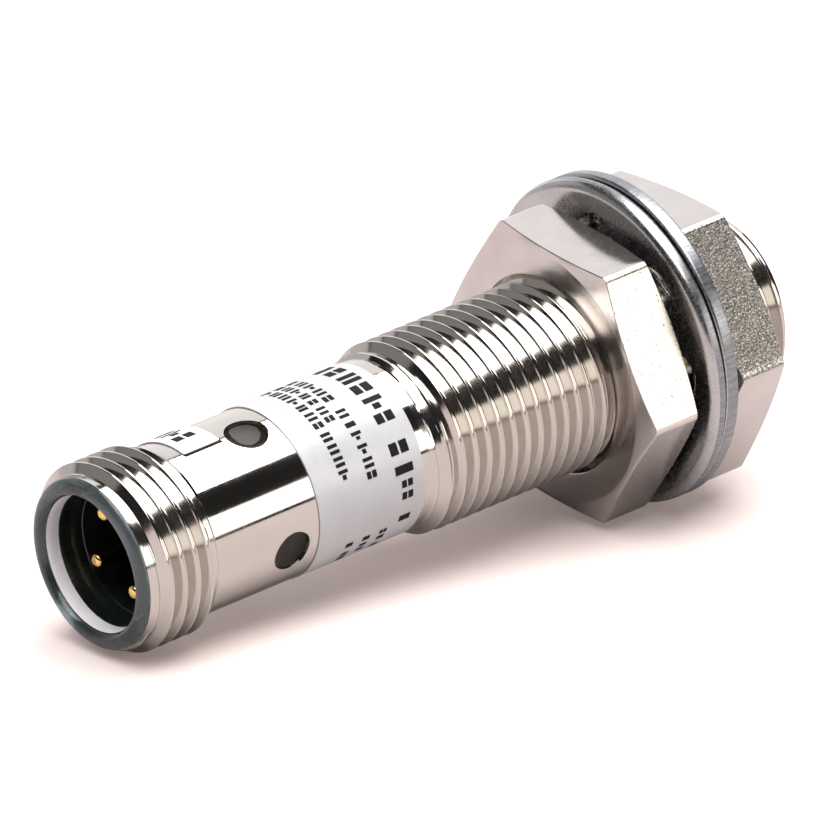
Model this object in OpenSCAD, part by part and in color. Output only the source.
// Cylindrical M12 inductive proximity sensor with a built-in four-pin M12 plug,
// two hex lock nuts and two internal-tooth lock washers.
// Millimetres. X runs along the barrel and out of the sensing face. The origin
// is the centre of the sensing face. Z is up as the sensor lies on a bench.
// Every position along the barrel is a distance from the metal rim of the plug
// (called the rim), which lies at x = -body_len.

/* [Barrel] */
// metal rim of the plug to the sensing face
body_len = 49.5; // [45:0.5:90]
// crest radius of both M12 threads
crest_r = 6.0; // [5.9:0.01:6]
// thread pitch
pitch = 1.0; // [0.75:0.25:1.5]
// width of the flat on each thread crest
crest_flat = 0.52; // [0.51:0.01:0.6]
// radius of the plain middle stretch
plain_r = 5.33; // [5.2:0.01:5.5]
// rim to the run-out cone in front of the plain stretch
cone_from = 21.3; // [18:0.1:30]
// length of the run-out cone
cone_len = 1.3; // [0.8:0.1:2]
// radius of the bore around the coil and the board
bore_r = 4.9; // [4.7:0.05:5]
// radius of the bore around the plug insert
rear_bore_r = 4.75; // [4.6:0.05:4.85]
// how far the neck that stops the insert stands in from the bore
neck_in = 0.25; // [0.1:0.05:0.5]
// rim to the neck
neck_from = 13.2; // [13:0.1:14]
// length of the neck
neck_len = 1.2; // [0.8:0.1:2]
// wall of the metal rim at the plug's mouth
rim_wall = 0.18; // [0.1:0.01:0.3]
// sensing cap proud of the barrel's front edge
cap_proud = 0.3; // [0:0.1:1]
// 45 degree chamfer at the barrel's front edge
front_chamfer = 0.5; // [0.3:0.1:1]

/* [Plug] */
// full thread crests on the plug
plug_crests = 4; // [3:1:6]
// radius of the last, shallow crest of the plug
last_crest_r = 5.8; // [5.6:0.05:6]
// wall between the socket and the bore, below the step
socket_wall = 0.65; // [0.5:0.05:0.8]
// the same wall at the lip
mouth_wall = 0.53; // [0.4:0.01:0.7]
// rim to the socket floor
socket_depth = 9.3; // [8.5:0.1:9.4]
// thickness of the socket floor
floor_t = 0.7; // [0.5:0.1:1]
// lip of the insert proud of the metal rim
lip_proud = 0.45; // [0.3:0.05:0.6]
// radius of a contact pin
pin_r = 0.5; // [0.4:0.05:0.5]
// radius of the circle the pins stand on
pin_circle_r = 2.5; // [2.3:0.1:2.6]
// rim to the pin tips
pin_tip = 1.75; // [1.5:0.05:3]
// turn of the first pin about the barrel
pin_angle = 62.9; // [0:0.1:90]
// number of pins, windows and status lights
stations = 4; // [4:1:4]

/* [Windows and lights] */
// radius of a window hole
window_r = 1.3; // [1:0.05:1.3]
// rim to the window centres
window_at = 10.95; // [10.9:0.05:11]
// turn of the first window about the barrel
window_angle = 17.9; // [0:0.1:90]
// how far the window plugs stay below the barrel's surface
window_in = 0.21; // [0.05:0.01:0.3]

/* [Labels] */
// rim to the type label
label_from = 12.9; // [12.5:0.1:14]
// length of the type label
label_len = 8.05; // [6:0.05:8.2]
// thickness of both labels
label_t = 0.07; // [0.05:0.01:0.1]
// rim to the date label
date_from = 6.4; // [5.6:0.1:6.6]
// length of the date label along the barrel
date_len = 2.7; // [2:0.1:3]
// turn at which the date label starts
date_start = 38; // [30:1:60]
// turn over which the date label wraps
date_wrap = 67.3; // [50:0.1:80]

/* [Nuts and washers] */
// width across flats of both nuts
nut_flats = 16.8; // [16.6:0.1:17]
// thickness of both nuts
nut_t = 4.0; // [3.5:0.1:5]
// gap between the rear nut and the rear washer
rear_nut_gap = 0.52; // [0.4:0.01:5]
// turn of the rear nut's first corner
rear_nut_angle = 7.6; // [0:0.1:60]
// back of the front nut to the sensing face
front_nut_back = 7.6; // [5.5:0.01:20]
// turn of the front nut's first corner
front_nut_angle = 1.5; // [0:0.1:60]
// clearance of the nut bores over the crests
nut_clear = 0.05; // [0.03:0.01:0.1]
// how far the flat ring on a nut face stays inside the flats
nut_face_in = 0.3; // [0.1:0.05:0.6]
// depth of the cone that takes off the corners
nut_cone = 0.4; // [0.3:0.05:0.6]
// 45 degree countersink of the nut bores
nut_sink = 0.4; // [0.2:0.05:0.6]
// outer radius of the lock washers
washer_r = 10.25; // [10:0.05:10.5]
// clearance of the washers' tooth tips over the crests
washer_clear = 0.5; // [0.45:0.05:0.6]
// thickness of the lock washers
washer_t = 0.9; // [0.8:0.05:1]
// radius to which the tooth gaps reach
tooth_root_r = 8.6; // [8.2:0.1:9]
// number of teeth
teeth = 8; // [6:1:10]
// gap between the two washers
washer_gap = 0.21; // [0.05:0.01:0.3]
// gap between the front washer and the front nut
front_nut_gap = 0.34; // [0.05:0.01:0.4]
// turn of the first tooth gap
washer_angle = 92.5; // [0:0.5:180]
// width of a tooth gap
tooth_gap_w = 3.2; // [2.8:0.1:3.6]
// how far the loose washers hang off the axis, as a share of their clearance
washer_hang = 0.88; // [0:0.01:0.9]
// turn of the direction in which the washers hang
hang_angle = 63.2; // [0:0.1:90]

/* [Electronics] */
// how far the board's edges stay inside the cap
board_in = 0.28; // [0.2:0.02:1.5]
// thickness of the circuit board
board_t = 0.8; // [0.6:0.1:1]
// rim to the back end of the circuit board
board_from = 15.6; // [15.5:0.1:17]
// thickness of the sensing face
face_t = 0.9; // [0.6:0.1:1.2]
// wall of the sensing cap
cap_wall = 0.6; // [0.4:0.1:0.7]
// depth of the sensing cap
cap_len = 12.3; // [8:0.1:14]

/* [Hidden] */
$fn = 96;
// gap that keeps fitted pieces from touching
fit_gap = 0.02;
// flank angle of the threads, from the radius
flank = 30;
root_depth = (pitch - crest_flat) / 2 / tan(flank);
root_r = crest_r - root_depth;
thread_from = cone_from + cone_len;
edge = body_len - cap_proud;
main_crests = floor((edge - front_chamfer - thread_from) / pitch);
plug_from = 0.66;
last_pull = 0.06;
plug_end = plug_from + plug_crests * pitch - last_pull;
last_crest_t = 0.4;
runout_len = 0.15;
last_start = edge - front_chamfer - 0.1;
countersink = 0.45;
mouth_bore_r = rear_bore_r + countersink;
rim_r = mouth_bore_r + rim_wall;
neck_r = rear_bore_r - neck_in;
socket_r = rear_bore_r - socket_wall;
socket_mouth_r = rear_bore_r - mouth_wall;
lip_cover = 0.03;
socket_step_at = 1.6;
socket_step_to = 2.1;
label_r = plain_r + 0.01;
window_pitch = 360 / stations;
cap_r = bore_r - fit_gap;
cap_in_r = cap_r - cap_wall;
face_in = body_len - face_t;
// slip gap between the pieces round the coil
slip = 0.05;
core_len = 3.2;
shield_t = 0.13;
core_r = cap_in_r - 2 * slip - shield_t;
core_wall = 0.7;
core_groove_r = core_r - core_wall;
core_post_r = 1.5;
core_back_t = 0.9;
core_from = face_in - 2 * slip - core_len;
groove_from = core_from + core_back_t;
bobbin_flange_t = 0.25;
bobbin_r = core_groove_r - slip;
bobbin_hole_r = core_post_r + slip;
bobbin_wall = 0.3;
bobbin_tube_r = bobbin_hole_r + bobbin_wall;
groove_len = core_len - core_back_t;
winding_gap = 0.01;
holder_len = 2.0;
holder_r = cap_in_r - slip;
holder_from = core_from - holder_len - slip;
board_to = holder_from - 4 * slip;
board_len = board_to - board_from;
board_w = 2 * (cap_in_r - board_in);
lead_r = 0.12;
lead_hole_r = 0.3;
lead_y = (bobbin_tube_r + core_groove_r) / 2;
lead_gap = 0.01;
lead_z = board_t / 2 + lead_r + lead_gap;
lead_over = 1.5;
lead_len = groove_from - board_to + lead_over;
skirt_wall = 0.83;
skirt_r = rear_bore_r - fit_gap - skirt_wall;
through = 1;
insert_end = neck_from - fit_gap;
insert_r = rear_bore_r - fit_gap;
chamber_from = socket_depth + floor_t;
ring_board_from = 12.3;
ring_board_t = 0.6;
led_size = [0.8, 1.6, 0.9];
led_r = skirt_r - led_size[2];
seal_tube_r = 0.25;
seal_groove_w = 0.6;
seal_back = 0.45;
seal_at = insert_end - seal_back;
seal_groove_r = insert_r - 2 * seal_tube_r + 0.02;
tail_r = 0.3;
pin_shoulder = 0.4;
tail_from = chamber_from + pin_shoulder;
tail_to = 15.2;
potting_from = 17.0;
potting_len = 5.0;
slot_clear = 0.05;
top_z = board_t / 2 + fit_gap;
// length, width and height of each piece on the board
oscillator_size = [4.9, 3.9, 1.1];
transistor_size = [3.0, 3.5, 1.3];
diode_size = [2.6, 1.6, 0.9];
capacitor_size = [2.0, 1.2, 1.0];
resistor_size = [1.0, 1.8, 0.5];
// places of the same pieces, from the end of the board they stand near
oscillator_back = 9;
transistor_at = 8;
diode_at = 12;
capacitor_at = 10;
capacitor_y = 1.6;
resistor_at = 14;
resistor_pitch = 2;
resistors = 3;
// nuts and washers, chained back from the front nut
crest_clear_r = crest_r + nut_clear;
nut_corner_r = nut_flats / sqrt(3);
nut_face_r = nut_flats / 2 - nut_face_in;
front_nut_at = body_len - front_nut_back;
front_washer_at = front_nut_at - front_nut_gap - washer_t;
rear_washer_at = front_washer_at - washer_gap - washer_t;
rear_nut_at = rear_washer_at - rear_nut_gap - nut_t;
washer_hole_r = crest_r + washer_clear;
washer_drop = washer_hang * washer_clear;
gap_pitch = 360 / teeth;
window_top_r = plain_r - window_in;

// a solid of revolution about X from [radius, distance from the rim] points
module turned(points) {
    translate([-body_len, 0, 0])
        rotate([0, 90, 0])
            rotate_extrude()
                polygon(points);
}

// a ring about X between two radii
module ring(inner, outer, from, len) {
    turned([[inner, from], [outer, from], [outer, from + len], [inner, from + len]]);
}

// a solid disc about X
module disc(radius, from, len) {
    turned([[0, from], [radius, from], [radius, from + len], [0, from + len]]);
}

// a rod along X at a radius and a turn
module rod(radius, at_r, turn, from, len) {
    translate([-body_len + from, at_r * cos(turn), at_r * sin(turn)])
        rotate([0, 90, 0])
            cylinder(r = radius, h = len);
}

// a box from a distance along X, centred on Y, standing on a height
module block(size, from, y, z) {
    translate([-body_len + from, y - size[1] / 2, z])
        cube(size);
}

// points of one row of thread crests
function crest_row(from, count) = [
    for (i = [0 : count - 1])
        for (p = [[crest_r, from + i * pitch], [crest_r, from + i * pitch + crest_flat],
                  [root_r, from + i * pitch + (pitch + crest_flat) / 2]]) p
];

// barrel: plug thread, plain stretch, body thread, stepped bore and window holes
module barrel() {
    color([0.78, 0.76, 0.73])
        difference() {
            turned(concat(
                [[mouth_bore_r, 0], [rim_r, 0]],
                crest_row(plug_from, plug_crests),
                [[last_crest_r, plug_end], [last_crest_r, plug_end + last_crest_t],
                 [plain_r, plug_end + last_crest_t + runout_len], [plain_r, cone_from]],
                crest_row(thread_from, main_crests),
                [[crest_r, last_start], [crest_r, edge - front_chamfer],
                 [crest_r - front_chamfer, edge], [bore_r, edge],
                 [bore_r, neck_from + neck_len], [neck_r, neck_from + neck_len],
                 [neck_r, neck_from], [rear_bore_r, neck_from],
                 [rear_bore_r, countersink]]));
            for (i = [0 : stations - 1])
                rotate([window_angle + i * window_pitch, 0, 0])
                    translate([-body_len + window_at, neck_r, 0])
                        rotate([-90, 0, 0])
                            cylinder(r = window_r, h = crest_r);
        }
}

// sensing cap: plastic cup that closes the front
module sensing_cap() {
    color([0.12, 0.12, 0.13])
        turned([[0, body_len], [cap_r, body_len], [cap_r, body_len - cap_len],
                [cap_in_r, body_len - cap_len], [cap_in_r, face_in], [0, face_in]]);
}

// plug insert: smoky clear socket with a rounded lip, a floor and a skirt
module plug_insert() {
    color([0.16, 0.2, 0.21, 0.6])
        difference() {
            turned([[mouth_bore_r - fit_gap, 0], [mouth_bore_r - fit_gap, -fit_gap],
                    [rim_r - lip_cover, -fit_gap], [rim_r - 0.1, -0.45 * lip_proud],
                    [rim_r - 0.5, -0.93 * lip_proud], [rim_r - 0.72, -lip_proud],
                    [socket_mouth_r + 0.24, -0.78 * lip_proud],
                    [socket_mouth_r + 0.08, -0.22 * lip_proud], [socket_mouth_r, 0.3],
                    [socket_mouth_r, socket_step_at], [socket_r, socket_step_to],
                    [socket_r, socket_depth], [0, socket_depth], [0, chamber_from],
                    [skirt_r, chamber_from], [skirt_r, insert_end], [insert_r, insert_end],
                    [insert_r, seal_at + seal_groove_w / 2],
                    [seal_groove_r, seal_at + seal_groove_w / 2],
                    [seal_groove_r, seal_at - seal_groove_w / 2],
                    [insert_r, seal_at - seal_groove_w / 2], [insert_r, countersink]]);
            for (i = [0 : stations - 1])
                rod(pin_r + fit_gap, pin_circle_r, pin_angle + i * window_pitch,
                    socket_depth - through, floor_t + 2 * through);
        }
}

// insert seal: O-ring in the insert's groove
module insert_seal() {
    color([0.1, 0.1, 0.1])
        translate([-body_len + seal_at, 0, 0])
            rotate([0, 90, 0])
                rotate_extrude()
                    translate([seal_groove_r + seal_tube_r, 0])
                        circle(r = seal_tube_r - 0.01);
}

// contact pin: round tip, thick contact and thin tail
module contact_pin(i) {
    color([0.83, 0.66, 0.32]) {
        translate([-body_len + pin_tip + pin_r,
                   pin_circle_r * cos(pin_angle + i * window_pitch),
                   pin_circle_r * sin(pin_angle + i * window_pitch)])
            sphere(r = pin_r);
        rod(pin_r, pin_circle_r, pin_angle + i * window_pitch,
            pin_tip + pin_r, tail_from - pin_tip - pin_r);
        rod(tail_r, pin_circle_r, pin_angle + i * window_pitch,
            tail_from, tail_to - tail_from);
    }
}

// window: clear plug in one hole of the barrel
module window(i) {
    color([0.2, 0.22, 0.22, 0.6])
        rotate([window_angle + i * window_pitch, 0, 0])
            translate([-body_len + window_at, insert_r + fit_gap, 0])
                rotate([-90, 0, 0])
                    cylinder(r = window_r - fit_gap, h = window_top_r - insert_r - fit_gap);
}

// status light on the ring board behind a window
module status_led(i) {
    color([0.9, 0.88, 0.7])
        rotate([window_angle + i * window_pitch, 0, 0])
            translate([-body_len + ring_board_from - led_size[0] - fit_gap,
                       led_r - led_size[2] / 2, -led_size[1] / 2])
                cube([led_size[0], led_size[2], led_size[1]]);
}

// led board: small round board that carries the lights and passes the pin tails
module led_board() {
    color([0.1, 0.35, 0.2])
        difference() {
            disc(skirt_r - 2 * slip, ring_board_from, ring_board_t);
            for (i = [0 : stations - 1])
                rod(tail_r + fit_gap, pin_circle_r, pin_angle + i * window_pitch,
                    ring_board_from - through, ring_board_t + 2 * through);
        }
}

// circuit board: strip along the barrel's axis
module circuit_board() {
    color([0.1, 0.35, 0.2])
        block([board_len, board_w, board_t], board_from, 0, -board_t / 2);
}

module oscillator_chip() {
    color([0.1, 0.1, 0.1])
        block(oscillator_size, board_to - oscillator_back, 0, top_z);
}

module output_transistor() {
    color([0.12, 0.12, 0.12])
        block(transistor_size, board_from + transistor_at, 0, top_z);
}

module surge_diode() {
    color([0.15, 0.15, 0.15])
        block(diode_size, board_from + diode_at, 0, top_z);
}

// two ceramic capacitors on the underside
module board_capacitors() {
    color([0.62, 0.5, 0.36])
        for (side = [-1, 1])
            block(capacitor_size, board_from + capacitor_at, side * capacitor_y,
                  -top_z - capacitor_size[2]);
}

// row of resistors on the underside
module board_resistors() {
    color([0.08, 0.08, 0.08])
        for (i = [0 : resistors - 1])
            block(resistor_size, board_from + resistor_at + i * resistor_pitch, 0,
                  -top_z - resistor_size[2]);
}

// potting plug: resin that locks the board, with a slot that clears it
module potting_plug() {
    color([0.18, 0.16, 0.14])
        difference() {
            disc(bore_r - fit_gap, potting_from, potting_len);
            block([potting_len + 2 * through, board_w + 2 * slot_clear,
                   board_t + 2 * slot_clear],
                  potting_from - through, 0, -board_t / 2 - slot_clear);
        }
}

// core holder: disc between board and core, with holes for the coil leads
module core_holder() {
    color([0.85, 0.83, 0.78])
        difference() {
            disc(holder_r, holder_from, holder_len);
            for (side = [-1, 1])
                translate([-body_len + holder_from - through, side * lead_y, lead_z])
                    rotate([0, 90, 0])
                        cylinder(r = lead_hole_r, h = holder_len + 2 * through);
        }
}

// ferrite core: pot core open towards the sensing face
module ferrite_core() {
    color([0.22, 0.21, 0.21])
        difference() {
            turned([[0, core_from], [core_r, core_from], [core_r, core_from + core_len],
                    [core_groove_r, core_from + core_len], [core_groove_r, groove_from],
                    [core_post_r, groove_from], [core_post_r, core_from + core_len],
                    [0, core_from + core_len]]);
            for (side = [-1, 1])
                translate([-body_len + core_from - through, side * lead_y, lead_z])
                    rotate([0, 90, 0])
                        cylinder(r = lead_hole_r, h = core_back_t + through + slip);
        }
}

// shield ring: thin metal band round the core
module shield_ring() {
    color([0.72, 0.45, 0.2])
        ring(core_r + slip, cap_in_r - slip, core_from, core_len);
}

// coil bobbin: tube with two flanges in the core's groove
module coil_bobbin() {
    color([0.9, 0.88, 0.82])
        turned([[bobbin_hole_r, groove_from + slip], [bobbin_r, groove_from + slip],
                [bobbin_r, groove_from + slip + bobbin_flange_t],
                [bobbin_tube_r, groove_from + slip + bobbin_flange_t],
                [bobbin_tube_r, groove_from + groove_len - bobbin_flange_t],
                [bobbin_r, groove_from + groove_len - bobbin_flange_t],
                [bobbin_r, groove_from + groove_len], [bobbin_hole_r, groove_from + groove_len]]);
}

// coil winding: the wound wire, drawn as one ring
module coil_winding() {
    color([0.72, 0.35, 0.16])
        ring(bobbin_tube_r + winding_gap, bobbin_r - 3 * slip,
             groove_from + slip + bobbin_flange_t + 2 * winding_gap,
             groove_len - slip - 4 * winding_gap - 2 * bobbin_flange_t);
}

// coil leads: two wires from the coil to the top of the board
module coil_leads() {
    color([0.72, 0.35, 0.16])
        for (side = [-1, 1])
            translate([-body_len + groove_from - lead_len, side * lead_y, lead_z])
                rotate([0, 90, 0])
                    cylinder(r = lead_r, h = lead_len);
}

// type label: film wrapped round the plain stretch
module type_label() {
    color([0.85, 0.86, 0.88])
        ring(label_r, label_r + label_t, label_from, label_len);
}

// date label: small sticker across the top of the plain stretch
module date_label() {
    color([0.93, 0.93, 0.94])
        translate([-body_len + date_from, 0, 0])
            rotate([date_start + 90, 0, 0])
                rotate([0, 90, 0])
                    rotate_extrude(angle = date_wrap)
                        translate([label_r, 0])
                            square([label_t, date_len]);
}

// lock nut: hexagon with coned faces and a chamfered bore
module lock_nut(from, turn) {
    in_r = crest_clear_r;
    sink_r = in_r + nut_sink;
    wide_r = nut_corner_r + slip;
    color([0.8, 0.77, 0.74])
        intersection() {
            translate([-body_len + from, 0, 0])
                rotate([turn + 90, 0, 0])
                    rotate([0, 90, 0])
                        cylinder(r = nut_corner_r, h = nut_t, $fn = 6);
            turned([[sink_r, from], [nut_face_r, from],
                    [wide_r, from + nut_cone],
                    [wide_r, from + nut_t - nut_cone],
                    [nut_face_r, from + nut_t], [sink_r, from + nut_t],
                    [in_r, from + nut_t - nut_sink], [in_r, from + nut_sink]]);
        }
}

// lock washer: flat ring with gaps between its inner teeth
module lock_washer(from) {
    gap_r = tooth_gap_w / 2;
    color([0.7, 0.71, 0.73])
        translate([0, washer_drop * cos(hang_angle), washer_drop * sin(hang_angle)])
            difference() {
                ring(washer_hole_r, washer_r, from, washer_t);
                for (i = [0 : teeth - 1])
                    rotate([washer_angle + i * gap_pitch, 0, 0])
                        union() {
                            translate([-body_len + from - through, 0, -gap_r])
                                cube([washer_t + 2 * through, tooth_root_r - gap_r, 2 * gap_r]);
                            translate([-body_len + from - through, tooth_root_r - gap_r, 0])
                                rotate([0, 90, 0])
                                    cylinder(r = gap_r, h = washer_t + 2 * through);
                        }
            }
}

barrel();
sensing_cap();
plug_insert();
insert_seal();
contact_pin(0);  // contact_pin_1
contact_pin(1);  // contact_pin_2
contact_pin(2);  // contact_pin_3
contact_pin(3);  // contact_pin_4
window(0);  // window_1
window(1);  // window_2
window(2);  // window_3
window(3);  // window_4
status_led(0);  // status_led_1
status_led(1);  // status_led_2
status_led(2);  // status_led_3
status_led(3);  // status_led_4
led_board();
circuit_board();
oscillator_chip();
output_transistor();
surge_diode();
board_capacitors();
board_resistors();
potting_plug();
core_holder();
ferrite_core();
shield_ring();
coil_bobbin();
coil_winding();
coil_leads();
type_label();
date_label();
lock_nut(rear_nut_at, rear_nut_angle);  // rear_nut
lock_nut(front_nut_at, front_nut_angle);  // front_nut
lock_washer(rear_washer_at);  // rear_washer
lock_washer(front_washer_at);  // front_washer
